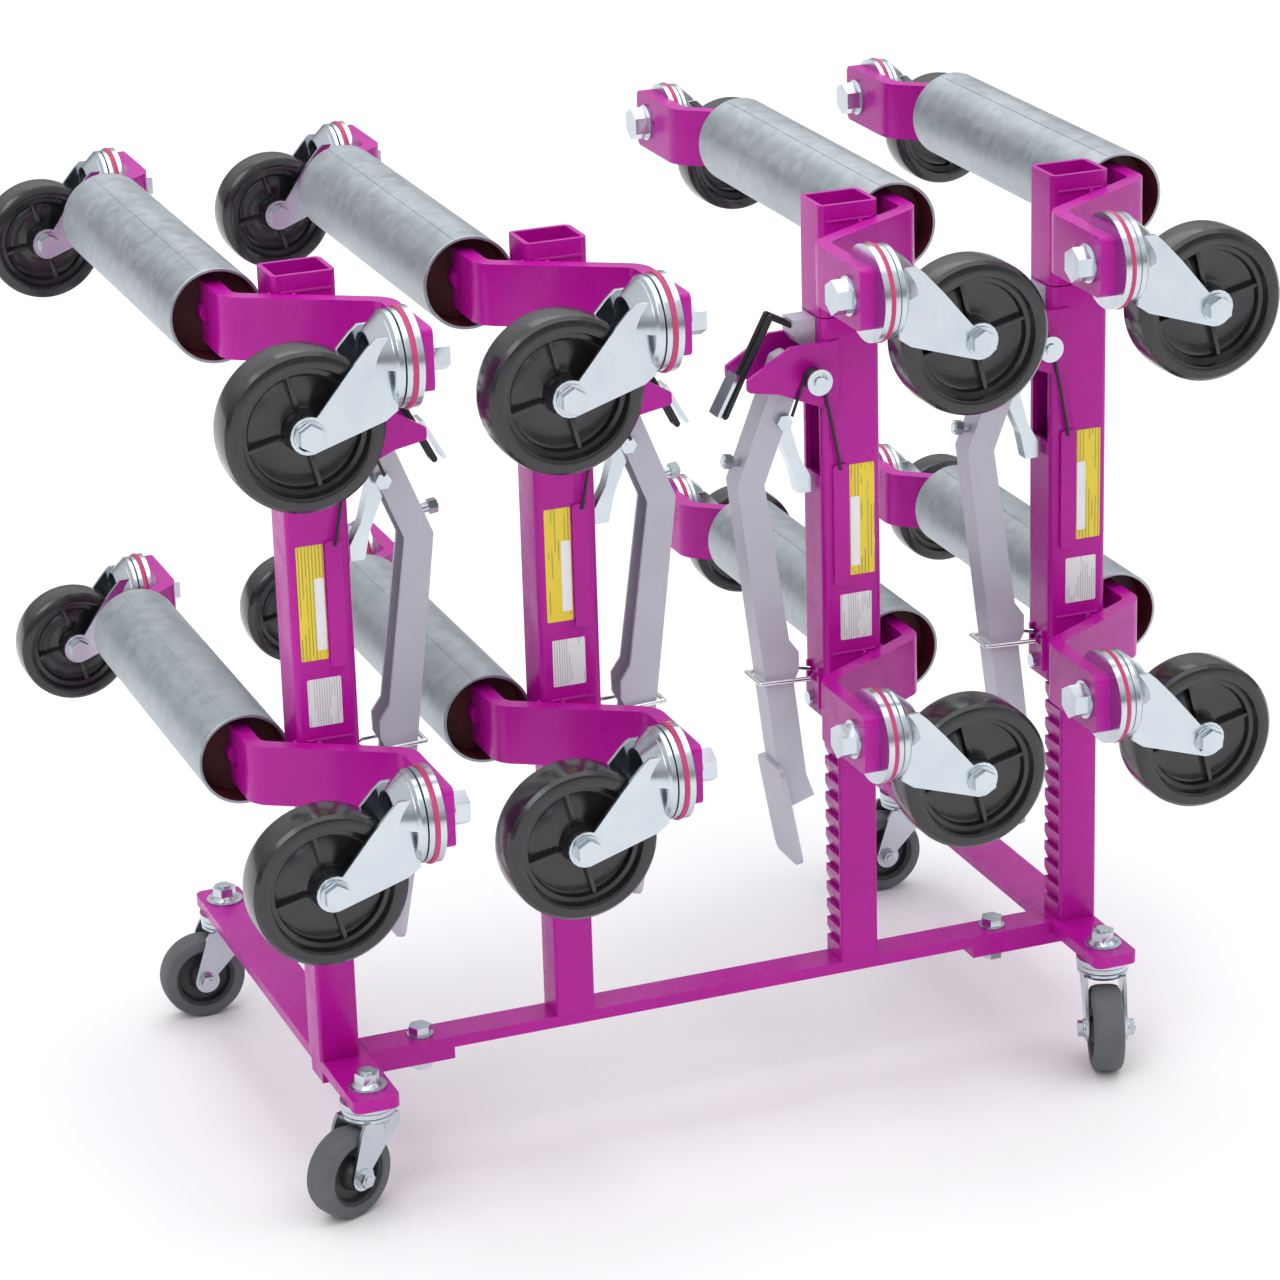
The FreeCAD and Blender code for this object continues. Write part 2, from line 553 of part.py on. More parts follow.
def rack_fasteners():
    """Rail bolts, caster king bolts with flange nuts, and the fixed halves of the swivel cups."""
    solids = []
    for side in (-1, 1):
        solids.append(rail_bolt(side * (JACK_X[4] - CROSS_WIDTH / 2.0 - TAB_BOLT_REACH)))
    inside = -RACK_CASTER["cup_thick"] - RACK_CASTER["crown"] - 0.3
    for x in (JACK_X[1], JACK_X[4]):
        for y in stem_positions():
            stem = rod(KING_BOLT_RADIUS, (0, 0, inside - 5), (0, 0, RACK_BAR + 15))
            stem = stem.fuse(rod(16.0, (0, 0, RACK_BAR + 0.05), (0, 0, RACK_BAR + 2)))
            stem = stem.fuse(Part.makeCone(12.5, 9.5, 3.5, Vec(0, 0, RACK_BAR + 2)))
            stem = stem.fuse(hexagon(18.0, (0, 0, RACK_BAR + 2), (0, 0, RACK_BAR + 13)))
            stem = stem.fuse(hexagon(17.0, (0, 0, inside - 5), (0, 0, inside))).removeSplitter()
            for shape in (stem, caster_fixed_cup(RACK_CASTER)):
                shape.translate(Vec(x, y, -RACK_BAR))
                solids.append(shape)
    return solids


# Resting direction of each rack caster's trail, degrees about Z from +X.
RACK_TRAIL = {"front_left": 205.0, "front_right": 250.0, "back_left": 180.0, "back_right": 180.0}


def rack_casters():
    parts = {}
    for name, turn in RACK_TRAIL.items():
        x = JACK_X[1] if name.endswith("left") else JACK_X[4]
        y = stem_positions()[0] if name.startswith("front") else stem_positions()[1]
        groups = {
            "rack_fork_" + name: [caster_fork(RACK_CASTER), caster_axle_bolt(RACK_CASTER)],
            "rack_wheel_" + name: [caster_wheel(RACK_CASTER)],
        }
        for node, solids in groups.items():
            for shape in solids:
                shape.rotate(Vec(0, 0, 0), Vec(0, 0, 1), turn)
                shape.translate(Vec(x, y, -RACK_BAR))
            parts[node] = solids
    return parts


# ================================================================ assembly

nodes = {
    "rack_end_frame_left": [end_frame(1)],
    "rack_end_frame_right": [end_frame(4)],
    "rack_centre_rail": [centre_rail()],
    "rack_fasteners": rack_fasteners(),
}
nodes.update(rack_casters())

one_dolly = dolly()
for number, x in JACK_X.items():
    for name, solids in one_dolly.items():
        placed = []
        for solid in solids:
            copy = solid.mirror(Vec(0, 0, 0), Vec(1, 0, 0)) if number > 2 else solid.copy()
            copy.translate(Vec(x, 0, 0))
            placed.append(copy)
        nodes["jack" + str(number) + "_" + name] = placed

everything = Part.makeCompound([solid for solids in nodes.values() for solid in solids])
overall = everything.optimalBoundingBox(True, False)
shift = Vec(-overall.Center.x, -overall.Center.y, -overall.ZMin)

os.makedirs("parts", exist_ok=True)
for name, solids in nodes.items():
    shape = solids[0] if len(solids) == 1 else Part.makeCompound(solids)
    shape.translate(shift)
    shape.exportStep("parts/" + name + ".step")

print("nodes", len(nodes))
print("shift", round(shift.x, 3), round(shift.y, 3), round(shift.z, 3))
print("size", round(overall.XLength, 1), round(overall.YLength, 1), round(overall.ZLength, 1))
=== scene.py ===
# %% [markdown]
# # A wheeled rack that stores four ratchet wheel dollies
# A wheel dolly grips a car tyre between two rollers so that the car can be pushed sideways. Four
# of them stand on this low rack. The measured model is loaded first as a fixed frame; everything
# below adds finishes and the small details that a measured model leaves out.

# %% Load the measured model
import json
import math

import bmesh
import bpy
from mathutils import Matrix, Vector


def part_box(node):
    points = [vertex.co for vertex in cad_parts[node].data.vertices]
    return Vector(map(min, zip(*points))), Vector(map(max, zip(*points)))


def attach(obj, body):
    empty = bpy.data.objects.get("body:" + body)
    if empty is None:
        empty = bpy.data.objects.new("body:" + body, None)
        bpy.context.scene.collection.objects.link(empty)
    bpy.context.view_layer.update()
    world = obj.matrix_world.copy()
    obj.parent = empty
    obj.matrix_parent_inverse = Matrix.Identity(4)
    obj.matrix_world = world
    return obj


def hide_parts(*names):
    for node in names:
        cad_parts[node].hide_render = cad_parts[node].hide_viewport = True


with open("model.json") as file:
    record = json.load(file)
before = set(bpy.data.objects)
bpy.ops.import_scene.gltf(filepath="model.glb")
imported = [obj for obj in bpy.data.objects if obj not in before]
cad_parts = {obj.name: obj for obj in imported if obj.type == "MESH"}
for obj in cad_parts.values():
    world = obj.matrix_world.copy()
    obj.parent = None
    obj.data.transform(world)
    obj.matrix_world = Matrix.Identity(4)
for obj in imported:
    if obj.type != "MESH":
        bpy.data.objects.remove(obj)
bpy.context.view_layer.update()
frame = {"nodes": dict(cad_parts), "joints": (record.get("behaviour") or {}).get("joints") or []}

# %% [markdown]
# ## Sizes that the pieces share
# Columns, arms and casters repeat on every dolly, so their places are worked out once from the
# measured nodes. A dolly's pedal side is +X for the first two and -X for the mirrored pair.

# %% Where the dollies are
DOLLIES = (1, 2, 3, 4)
CORNERS = ("front_left", "front_right", "back_left", "back_right")
FREE_CASTERS = ("upper_near", "upper_far", "lower_near")
ARM_Z = {"upper": 0.630, "lower": 0.260}
ARM_DROP = ARM_Z["lower"] - ARM_Z["upper"]
TUBE_HALF_Y = 0.022
ROLLER_OFFSET = 0.0586
RAIL_HALF_WIDTH = 0.015
RACK_TOP = 0.105


def pedal_side(dolly):
    return 1 if dolly < 3 else -1


def roller_centre(dolly, level):
    low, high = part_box(f"jack{dolly}_roller_{level}")
    return (low + high) / 2


COLUMN_X = {d: roller_centre(d, "upper").x + pedal_side(d) * ROLLER_OFFSET for d in DOLLIES}
COLUMN_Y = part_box("rack_centre_rail")[0].y + RAIL_HALF_WIDTH
print("columns at", {d: round(x, 4) for d, x in COLUMN_X.items()}, "y", round(COLUMN_Y, 4))


def on_dolly(dolly, u, y, z):
    """A point given from the dolly's column: u towards its pedal, z above the rack's top."""
    return Vector((COLUMN_X[dolly] + pedal_side(dolly) * u, COLUMN_Y + y, RACK_TOP + z))


# %% [markdown]
# ## The camera
# A long lens from the front left, a little above the top rollers, keeps the columns nearly
# parallel. The camera is set first.

# %% Camera
def look(position, forward, roll, lens):
    camera = bpy.data.cameras.new("camera")
    camera.lens = lens
    camera.sensor_width = 36
    camera.clip_end = 60
    viewer = bpy.data.objects.new("camera", camera)
    bpy.context.scene.collection.objects.link(viewer)
    forward = Vector(forward).normalized()
    right = forward.cross(Vector((0, 0, 1))).normalized()
    up = right.cross(forward)
    turned_right = right * math.cos(roll) + up * math.sin(roll)
    turned_up = up * math.cos(roll) - right * math.sin(roll)
    turn = Matrix((turned_right, turned_up, -forward)).transposed()
    viewer.matrix_world = Matrix.Translation(position) @ turn.to_4x4()
    bpy.context.scene.camera = viewer


look((-1.25388, -3.31218, 1.67914), (0.33181, 0.87654, -0.34870), math.radians(-1.679), 123.785)
print("camera set")

# %% [markdown]
# ## Shader maths as Python
# A material is a net of nodes. Adding two numbers in it takes one Math node, so a wrapper class
# turns the ordinary signs of Python into those nodes. Everything else is made by one method.


# %% A socket that can be added, multiplied and compared
class Value:
    """One output of a node, usable in Python expressions."""

    def __init__(self, finish, socket):
        self.finish = finish
        self.socket = socket

    def maths(self, operation, first, second):
        return self.finish.node("ShaderNodeMath", {"operation": operation}, {0: first, 1: second})

    def __add__(self, other):
        return self.maths("ADD", self, other)

    def __sub__(self, other):
        return self.maths("SUBTRACT", self, other)

    def __rsub__(self, other):
        return self.maths("SUBTRACT", other, self)

    def __mul__(self, other):
        return self.maths("MULTIPLY", self, other)

    def __gt__(self, other):
        return self.maths("GREATER_THAN", self, other)

    __radd__ = __add__
    __rmul__ = __mul__


# %% A finish is a material with one main shader
class Finish:
    """A material: even values go straight on the shader, varying ones are painted on."""

    def __init__(self, name, **even):
        self.material = bpy.data.materials.new(name)
        self.material.use_nodes = True
        self.tree = self.material.node_tree
        self.shader = self.tree.nodes["Principled BSDF"]
        for socket, value in even.items():
            self.shader.inputs[socket.replace("_", " ")].default_value = value
        self.place = self.node("ShaderNodeTexCoord", output="Object")

    def node(self, kind, settings=None, sockets=None, output=0):
        made = self.tree.nodes.new(kind)
        for name, value in (settings or {}).items():
            if name == "stops":
                self.set_stops(made.color_ramp, value)
            else:
                setattr(made, name, value)
        for name, value in (sockets or {}).items():
            if isinstance(value, Value):
                self.tree.links.new(value.socket, made.inputs[name])
            else:
                made.inputs[name].default_value = value
        return Value(self, made.outputs[output])

    def set_stops(self, ramp, stops):
        while len(ramp.elements) < len(stops):
            ramp.elements.new(0.5)
        for element, (position, grey) in zip(ramp.elements, stops):
            element.position = position
            element.color = (grey, grey, grey, 1)

    def noise(self, scale, detail=3.0, stretch=(1, 1, 1)):
        spread = self.node("ShaderNodeMapping", {}, {"Vector": self.place, "Scale": stretch})
        settings = {"Vector": spread, "Scale": scale, "Detail": detail}
        return self.node("ShaderNodeTexNoise", {}, settings, "Fac")

    def ramp(self, value, *stops):
        return self.node("ShaderNodeValToRGB", {"stops": stops}, {"Fac": value})

    def blend(self, factor, first, second):
        sockets = {0: factor, 6: first, 7: second}
        return self.node("ShaderNodeMix", {"data_type": "RGBA"}, sockets, 2)

    def bump(self, height, strength, distance=0.001):
        sockets = {"Height": height, "Strength": strength, "Distance": distance}
        return self.node("ShaderNodeBump", {}, sockets)

    def paint(self, socket, value):
        self.tree.links.new(value.socket, self.shader.inputs[socket])


# %% [markdown]
# ## Powder coat
# The frames are sprayed with powder and baked. The coat is smooth but never flat: it has a fine
# orange-peel skin, its colour is a little deeper where it lies thick, and handling leaves dull
# patches. Three noises at three scales give the three effects.

# %% Magenta powder coat
powder = Finish("magenta powder coat", Coat_Weight=0.12, Coat_Roughness=0.10,
                Specular_IOR_Level=0.25)
thick = powder.noise(9.0)
skin = powder.noise(900.0, 2.0)
handled = powder.ramp(powder.noise(45.0, 6.0), (0.45, 0.0), (0.75, 1.0))
powder.paint("Base Color", powder.blend(thick, (0.40, 0.002, 0.262, 1), (0.55, 0.005, 0.380, 1)))
powder.paint("Roughness", 0.27 + handled * 0.16)
powder.paint("Normal", powder.bump(skin + thick * 0.5, 0.12, 0.0004))
print("made", powder.material.name)

# %% [markdown]
# ## Zinc plate
# Forks, bolts and cups are zinc plated. Bright zinc is a mirror with a blue cast that drifts
# towards yellow where the bath was thicker, and pressed parts keep a faint rolling grain.

# %% Bright zinc
zinc = Finish("bright zinc", Metallic=1.0)
bath = zinc.noise(28.0, 4.0)
grain = zinc.noise(260.0, 4.0, (1, 1, 0.12))
cool = zinc.blend(bath, (0.50, 0.56, 0.62, 1), (0.66, 0.70, 0.73, 1))
smudge = zinc.ramp(zinc.noise(90.0, 6.0), (0.5, 0.0), (0.8, 1.0))
zinc.paint("Base Color", zinc.blend(smudge * 0.12, cool, (0.50, 0.50, 0.47, 1)))
zinc.paint("Roughness", 0.16 + grain * 0.12 + smudge * 0.05)
zinc.paint("Normal", zinc.bump(grain + bath * 2.0, 0.12, 0.0004))
print("made", zinc.material.name)

# %% [markdown]
# ## Galvanised roller tube
# Hot-dip zinc freezes into large crystals, called spangle. A cell pattern gives each crystal its
# own brightness, and long thin noise along the tube gives the scuffs that tyres leave.

# %% Dull galvanised steel
galvanised = Finish("galvanised tube", Metallic=0.85)
crystal = galvanised.node("ShaderNodeTexVoronoi", {}, {"Vector": galvanised.place, "Scale": 110.0},
                          "Color")
crystal_grey = galvanised.node("ShaderNodeSeparateColor", {}, {"Color": crystal}, "Red")
streak = galvanised.noise(60.0, 6.0, (1, 0.06, 1))
cloud = galvanised.noise(14.0, 4.0)
shade = crystal_grey * 0.25 + streak * 0.45 + cloud * 0.5
galvanised.paint("Base Color", galvanised.blend(shade, (0.27, 0.305, 0.335, 1),
                                                (0.55, 0.60, 0.63, 1)))
galvanised.paint("Roughness", 0.34 + streak * 0.2 + crystal_grey * 0.06)
galvanised.paint("Normal", galvanised.bump(crystal_grey * 0.4 + streak, 0.10, 0.0005))
print("made", galvanised.material.name)

# %% [markdown]
# ## Moulded wheels, rubber and paint
# The dolly wheels are one glossy moulding. The rack's small wheels have a dull grey tyre on a
# black hub. The pedal is sprayed silver-grey, with a faint cast of lilac.

# %% Plastics and rubber
glossy = Finish("glossy black wheel", Coat_Weight=0.3, Coat_Roughness=0.08)
flow = glossy.noise(35.0, 4.0)
glossy.paint("Base Color", glossy.blend(flow, (0.006, 0.006, 0.007, 1), (0.022, 0.022, 0.025, 1)))
dust = glossy.ramp(glossy.noise(120.0, 8.0), (0.5, 0.0), (0.85, 1.0))
glossy.paint("Roughness", 0.16 + flow * 0.10 + dust * 0.18)
glossy.paint("Normal", glossy.bump(flow + dust * 0.1, 0.15, 0.0006))

rubber = Finish("grey tyre rubber", Specular_IOR_Level=0.35)
mottle = rubber.noise(220.0, 5.0)
worn = rubber.noise(30.0, 3.0)
rubber.paint("Base Color", rubber.blend(worn, (0.075, 0.078, 0.086, 1), (0.16, 0.165, 0.175, 1)))
rubber.paint("Roughness", 0.52 + mottle * 0.2)
rubber.paint("Normal", rubber.bump(mottle, 0.2, 0.0004))

hub_black = Finish("satin black hub")
pitted = hub_black.noise(180.0, 4.0)
hub_black.paint("Base Color", hub_black.blend(pitted, (0.018, 0.018, 0.02, 1),
                                              (0.04, 0.04, 0.043, 1)))
hub_black.paint("Roughness", 0.34 + pitted * 0.2)
print("made plastics and rubber")

# %% Sprayed silver and black steel
silver = Finish("silver-grey paint", Metallic=0.25, Coat_Weight=0.2, Coat_Roughness=0.2)
fleck = silver.noise(1400.0, 2.0)
uneven = silver.noise(16.0, 3.0)
silver.paint("Base Color", silver.blend(uneven * 0.8 + fleck * 0.2, (0.42, 0.41, 0.48, 1),
                                        (0.60, 0.59, 0.67, 1)))
silver.paint("Roughness", 0.36 + uneven * 0.12)
silver.paint("Normal", silver.bump(fleck + uneven, 0.10, 0.0003))

black_steel = Finish("black spring steel", Metallic=0.4)
oil = black_steel.noise(140.0, 5.0)
black_steel.paint("Base Color", black_steel.blend(oil, (0.010, 0.010, 0.012, 1),
                                                  (0.04, 0.04, 0.045, 1)))
black_steel.paint("Roughness", 0.28 + oil * 0.25)

chrome = Finish("chromed wire", Metallic=1.0)
haze = chrome.noise(70.0, 5.0)
chrome.paint("Base Color", chrome.blend(haze, (0.66, 0.68, 0.70, 1), (0.90, 0.91, 0.92, 1)))
chrome.paint("Roughness", 0.06 + haze * 0.10)
print("made painted and plated steels")

# %% [markdown]
# ## Seals, roller bores and stickers
# A pink-red dust seal shows between the two cups of every swivel. The inside of each roller is
# primed dark maroon. Stickers are plain blocks of colour with soft printed bars and no words.

# %% Seal, primer and sticker inks
seal_pink = Finish("pink-red dust seal")
soft = seal_pink.noise(200.0, 3.0)
seal_pink.paint("Base Color", seal_pink.blend(soft, (0.42, 0.02, 0.11, 1), (0.62, 0.05, 0.20, 1)))
seal_pink.paint("Roughness", 0.35 + soft * 0.2)

primer = Finish("maroon primer")
rough_coat = primer.noise(70.0, 6.0)
primer.paint("Base Color", primer.blend(rough_coat, (0.020, 0.002, 0.004, 1),
                                        (0.11, 0.010, 0.014, 1)))
primer.paint("Roughness", 0.45 + rough_coat * 0.3)
primer.paint("Normal", primer.bump(rough_coat, 0.3, 0.0006))


def sticker_ink(name, ground, print_colour, lines):
    """Printed vinyl: fine upright bars of a second colour, broken up so that they spell nothing."""
    ink = Finish(name, Coat_Weight=0.4, Coat_Roughness=0.15)
    bars = ink.node("ShaderNodeTexWave", {"bands_direction": "X"},
                    {"Vector": ink.place, "Scale": lines})
    broken = ink.noise(120.0, 2.0, (1, 1, 0.2))
    printed = (bars > 0.72) * (broken > 0.47)
    faded = ink.noise(30.0, 2.0)
    ink.paint("Base Color", ink.blend(printed * 0.55, ground, print_colour))
    ink.paint("Roughness", 0.30 + faded * 0.15)
    return ink


yellow_ink = sticker_ink("yellow sticker", (0.86, 0.66, 0.02, 1), (0.10, 0.08, 0.02, 1), 110.0)
white_ink = sticker_ink("white sticker", (0.84, 0.84, 0.84, 1), (0.22, 0.22, 0.25, 1), 150.0)
plain_ink = sticker_ink("blank number panel", (0.90, 0.90, 0.90, 1), (0.80, 0.80, 0.80, 1),
                        20.0)
print("made seals, primer and sticker inks")

# %% [markdown]
# ## Turning a bmesh into a finished piece
# Every made piece needs the same last steps: a mesh, smooth shading that stays crisp at sharp
# edges, a finish, the body it rides on, and hiding the measured parts that it stands for.


# %% Finish a piece
SHARP_ANGLE = math.radians(32)
SOFT_EDGE_ANGLE = math.radians(38)
MERGE_DISTANCE = 0.000002


def finish_piece(name, shape, finishes, body, stands_for=(), soft_edge=0.0):
    mesh = bpy.data.meshes.new(name)
    shape.to_mesh(mesh)
    shape.free()
    mesh.polygons.foreach_set("use_smooth", [True] * len(mesh.polygons))
    mesh.set_sharp_from_angle(angle=SHARP_ANGLE)
    for finish in finishes:
        mesh.materials.append(finish.material)
    piece = bpy.data.objects.new(name, mesh)
    bpy.context.scene.collection.objects.link(piece)
    if soft_edge:
        bevel = piece.modifiers.new("soft edges", "BEVEL")
        bevel.width = soft_edge
        bevel.segments = 2
        bevel.limit_method = "ANGLE"
        bevel.angle_limit = SOFT_EDGE_ANGLE
        bevel.harden_normals = True
    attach(piece, body)
    if stands_for:
        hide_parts(*stands_for)


# %% [markdown]
# ## Sorting a measured node into its real materials
# A measured node can hold several solids: a painted weldment with plated bolts, a black spring
# and so on. A copy of its mesh is merged at the seams and split into its separate shells, and
# each shell takes the finish that the real piece has. Two solids that touch share edges of more
# than two faces, which a shell never crosses. Soft edges then catch the light.


# %% Split a node's mesh into shells
def shells_of(node):
    """The node's bmesh and its separate shells, each as (faces, low corner, high corner)."""
    shape = bmesh.new()
    shape.from_mesh(frame["nodes"][node].data)
    bmesh.ops.remove_doubles(shape, verts=shape.verts, dist=MERGE_DISTANCE)
    bmesh.ops.dissolve_limit(shape, angle_limit=math.radians(0.6), verts=shape.verts,
                             edges=shape.edges)
    shape.faces.ensure_lookup_table()
    left = set(shape.faces)
    shells = []
    while left:
        todo = [left.pop()]
        shell = []
        while todo:
            face = todo.pop()
            shell.append(face)
            for edge in face.edges:
                if len(edge.link_faces) != 2:
                    continue
                for neighbour in edge.link_faces:
                    if neighbour in left:
                        left.remove(neighbour)
                        todo.append(neighbour)
        points = [v.co for face in shell for v in face.verts]
        low = Vector([min(p[i] for p in points) for i in range(3)])
        high = Vector([max(p[i] for p in points) for i in range(3)])
        shells.append((shell, low, high))
    return shape, shells


def sort_node(node, finishes, choose, body, soft_edge):
    """Replace a node by one piece whose shells take finishes[choose(low, high, size order)]."""
    shape, shells = shells_of(node)
    shells.sort(key=lambda s: -(s[2] - s[1]).length)
    for order, (faces, low, high) in enumerate(shells):
        index = choose(low, high, order)
        for face in faces:
            face.material_index = index
    finish_piece(node + "_finish", shape, finishes, body, (node,), soft_edge)


# %% [markdown]
# ## The rack
# Two cross members, a centre rail bolted on tabs, and the plated bolts that hold the casters.
# Flat bar has slightly rounded edges, so the bevel is under a millimetre.

# %% Rack frames and bolts
for node in ("rack_end_frame_left", "rack_end_frame_right", "rack_centre_rail"):
    sort_node(node, [powder], lambda low, high, order: 0, "rack", 0.0007)
sort_node("rack_fasteners", [zinc], lambda low, high, order: 0, "rack", 0.0005)
print("rack finished")

# %% [markdown]
# ## Frames of the dollies
# In each frame the four longest shells are the painted column, axle rod and arms. In the lower
# frame the black spring and release loop lie around the pivot, and the pale block above it is
# the holding pawl.


# %% Choose a finish for each shell of a frame
def upper_shell(low, high, order):
    """Column, axle rod and both arms are painted; cups and bolts are plated."""
    return 0 if order <= 3 else 1


def lower_shell(low, high, order):
    """As above, with a black spring and loop and a silver pawl picked out by size and height."""
    size = high - low
    if order <= 3:
        return 0
    if size.y < 0.03 and size.z > 0.075:
        return 2
    if 0.019 < size.z < 0.024 and low.z - RACK_TOP > 0.54:
        return 3
    return 1


for d in DOLLIES:
    sort_node(f"jack{d}_upper_frame", [powder, zinc], upper_shell, f"jack{d}_upper_frame",
              0.0007)
    sort_node(f"jack{d}_lower_frame", [powder, zinc, black_steel, silver], lower_shell,
              f"jack{d}_lower_frame", 0.0006)
print("dolly frames finished")


# %% Pedals: silver lever, zinc pawl and bolts, chromed bail
def pedal_shell(low, high, order):
    """The lever is the longest shell, and the bail is the flat wide one."""
    if order == 0:
        return 0
    size = high - low
    if size.z < 0.0075 and size.x > 0.04:
        return 2
    return 1


for d in DOLLIES:
    sort_node(f"jack{d}_pedal", [silver, zinc, chrome], pedal_shell, f"jack{d}_pedal",
              0.0006)
print("pedals finished")

# %% [markdown]
# ## Forks
# A fork is pressed from one sheet: a round crown under the swivel, a skirt that wraps its back,
# and two legs that narrow to a round foot at the axle. The crown and the skirt are turned about
# the swivel's axis, and each leg is an outline pushed out to the sheet's thickness.

# %% Where a caster hangs
JOINTS = {joint["name"]: joint for joint in frame["joints"]}
KING_HOLE = 0.0068
NEAR_SIZE = dict(height=0.088, trail=0.044, cup=0.039, top=0.014, crown=0.005, inner=0.021,
                 leg=0.0035, foot=0.015)
FAR_SIZE = dict(height=0.069, trail=0.038, cup=0.033, top=0.012, crown=0.004, inner=0.018,
                leg=0.003, foot=0.013)
RACK_SIZE = dict(height=0.0575, trail=0.025, cup=0.023, top=0.010, crown=0.0035, inner=0.015,
                 leg=0.003, foot=0.011)


def caster_place(face, axle, axis):
    """Axes of an upright caster at its mounting face: X along the trail, Z towards the face."""
    up = Vector(axis) * (1 if (face - axle).dot(Vector(axis)) > 0 else -1)
    trail = (axle - face) - up * (axle - face).dot(up)
    trail.normalize()
    turn = Matrix((trail, up.cross(trail), up)).transposed().to_4x4()
    return Matrix.Translation(face) @ turn


# %% The two legs
def fork_legs(shape, size, place):
    """Both legs: straight under the crown, then narrowing to a round foot at the axle."""
    foot, height, trail, cup = size["foot"], size["height"], size["trail"], size["cup"]
    outer = size["inner"] + size["leg"]
    under = -size["top"] - size["crown"]
    outline = [(-outer * 0.95, under + 0.001), (cup * 0.86, under + 0.001),
               (cup * 1.04, under - height * 0.10), (trail + foot * 0.99, foot * 0.16 - height)]
    for degrees in range(-10, -200, -20):
        turn = math.radians(degrees)
        outline.append((trail + foot * math.cos(turn), foot * math.sin(turn) - height))
    outline += [(trail - foot * 0.90, foot * 0.44 - height), (0.0, under - height * 0.42),
                (-outer * 0.70, under - height * 0.24), (-outer * 0.95, under - height * 0.16)]
    for side in (-1, 1):
        corners = [shape.verts.new(place @ Vector((x, side * size["inner"], z)))
                   for x, z in outline]
        face = shape.faces.new(corners)
        pushed = bmesh.ops.extrude_face_region(shape, geom=[face], use_keep_orig=True)
        moved = [item for item in pushed["geom"] if isinstance(item, bmesh.types.BMVert)]
        across = place.to_3x3() @ Vector((0, side * size["leg"], 0))
        bmesh.ops.translate(shape, verts=moved, vec=across)


# %% The crown and the skirt behind it
def spun(shape, profile, place, angle, steps):
    """Turn a closed (height, radius) outline about the swivel axis, capped unless it is full."""
    corners = [shape.verts.new(place @ Vector((0, radius, z))) for z, radius in profile]
    rim = [shape.edges.new((a, b)) for a, b in zip(corners, corners[1:] + corners[:1])]
    full = angle >= math.tau
    made = bmesh.ops.spin(shape, geom=corners + rim, cent=place.to_translation(),
                          axis=place.to_3x3() @ Vector((0, 0, 1)), angle=angle, steps=steps,
                          use_merge=full, use_duplicate=False)
    if not full:
        bmesh.ops.contextual_create(shape, geom=rim)
        last = [item for item in made["geom_last"] if isinstance(item, bmesh.types.BMEdge)]
        bmesh.ops.contextual_create(shape, geom=last)


def fork_hood(shape, size, place):
    """Crown, the half skirt behind it, and the turning cup above it."""
    rim, top, sheet = size["cup"] * 0.96, -size["top"], size["crown"]
    outer = size["inner"] + size["leg"]
    low = top - sheet - size["height"] * 0.17
    crown = [(top, KING_HOLE), (top, rim - 0.002), (top - 0.001, rim), (top - sheet, rim),
             (top - sheet - 0.003, rim - 0.003), (top - sheet - 0.003, rim - 0.005),
             (top - sheet, rim - 0.004), (top - sheet, KING_HOLE)]
    skirt = [(top - sheet + 0.001, rim - 0.001), (top - sheet - 0.003, rim - 0.0028),
             (low, outer + 0.0002), (low - 0.0015, outer - 0.0015), (low, size["inner"] - 0.0004),
             (top - sheet - 0.003, rim - 0.0065), (top - sheet + 0.001, rim - 0.0045)]
    turning_cup = [(top / 2 - 0.0002, KING_HOLE), (top / 2 - 0.0002, size["cup"] * 0.955),
                   (top / 2 - 0.0012, size["cup"] * 0.97), (top + 0.0002, size["cup"] * 0.97),
                   (top + 0.0002, KING_HOLE)]
    spun(shape, crown, place, math.tau, 64)
    spun(shape, skirt, place, math.pi, 32)
    spun(shape, turning_cup, place, math.tau, 64)


# %% Build every fork around its measured axle bolt
def build_fork(node, size, place, dropped):
    """Drop the node's longest shells (the plain fork, and a wheel if it has one) and press anew."""
    shape, shells = shells_of(node)
    shells.sort(key=lambda s: -(s[2] - s[1]).length)
    doomed = [face for shell in shells[:dropped] for face in shell[0]]
    bmesh.ops.delete(shape, geom=doomed, context="FACES")
    fork_legs(shape, size, place)
    fork_hood(shape, size, place)
    bmesh.ops.recalc_face_normals(shape, faces=shape.faces)
    open_edges = sum(1 for edge in shape.edges if len(edge.link_faces) != 2)
    finish_piece(node + "_finish", shape, [zinc], node, (node,), 0.0007)
    return open_edges


def joint_place(swivel, axle):
    return caster_place(Vector(JOINTS[swivel]["pos_m"]), axle, JOINTS[swivel]["axis"])


open_edges = 0
for d in DOLLIES:
    for caster in FREE_CASTERS:
        axle = Vector(JOINTS[f"roll_{d}_{caster}"]["pos_m"])
        size = NEAR_SIZE if caster.endswith("near") else FAR_SIZE
        place = joint_place(f"swivel_{d}_{caster}", axle)
        open_edges += build_fork(f"jack{d}_fork_{caster}", size, place, 1)
    tail_axle = Vector(JOINTS[f"roll_{d}_upper_far"]["pos_m"])
    tail_axle.z += ARM_DROP
    place = joint_place(f"swivel_{d}_tail", tail_axle)
    open_edges += build_fork(f"jack{d}_tail_caster", FAR_SIZE, place, 2)
for corner in CORNERS:
    axle = Vector(JOINTS[f"roll_rack_{corner}"]["pos_m"])
    place = joint_place(f"swivel_rack_{corner}", axle)
    open_edges += build_fork(f"rack_fork_{corner}", RACK_SIZE, place, 1)
print("forks finished", "open edges", open_edges)

